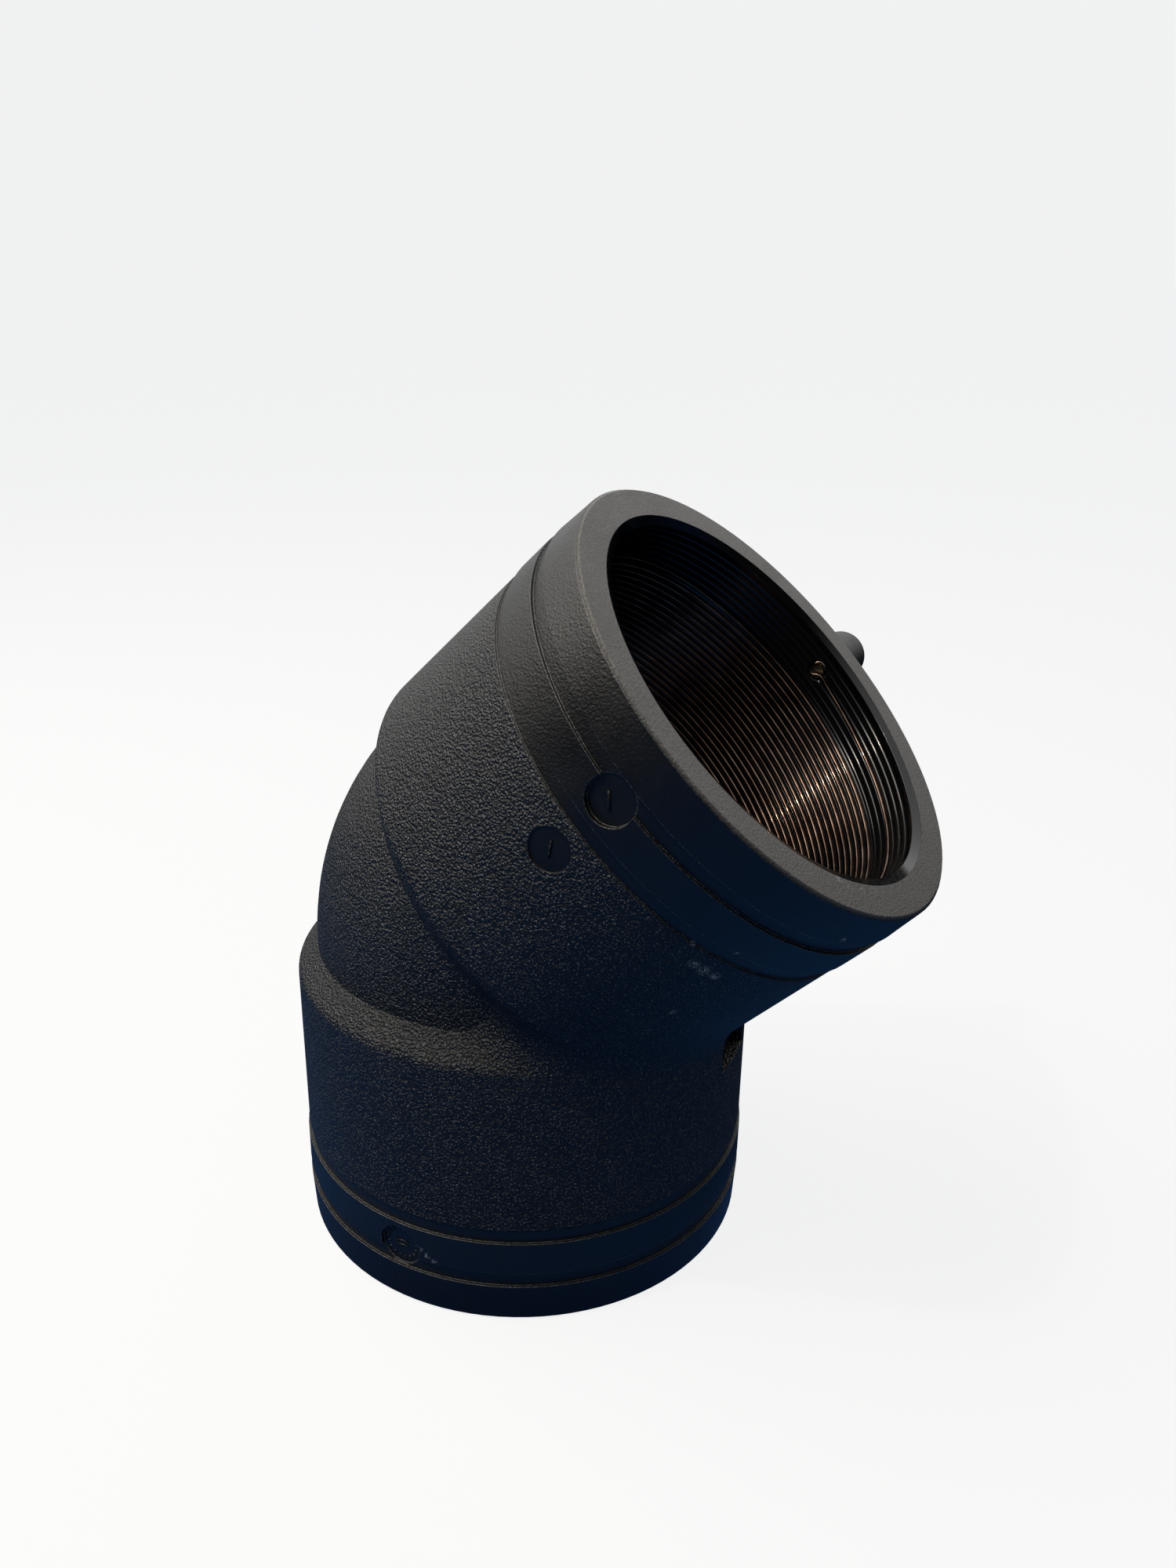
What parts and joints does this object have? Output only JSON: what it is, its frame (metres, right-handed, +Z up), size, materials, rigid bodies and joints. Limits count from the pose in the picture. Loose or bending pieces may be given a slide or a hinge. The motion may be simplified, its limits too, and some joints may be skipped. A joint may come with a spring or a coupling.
{
  "type": "45 degree electrofusion elbow",
  "caption": "Moulded black elbow with two sockets at 45 degrees, each with a wound heating wire flush in its bore and a shrouded terminal pin.",
  "frame": {"origin": "centre of the lower mouth, on the floor the elbow stands on", "axes": "+Z up the lower pipe's axis, +X the way the upper socket leans, -Y the side with the moulded discs, +Y the side with the terminals"},
  "size_m": [0.1863, 0.1502, 0.2194],
  "materials": {
    "black_polyethylene": "moulded, finely grained, with smooth bands near the mouths",
    "copper_wire": "drawn copper-coloured resistance wire",
    "tinned_pin": "turned brass, tinned"
  },
  "bodies": {
    "root": {"elbow_body": "black_polyethylene", "heating_wire": "copper_wire", "lower_terminal_pin": "tinned_pin", "upper_terminal_pin": "tinned_pin"}
  },
  "joints": []
}
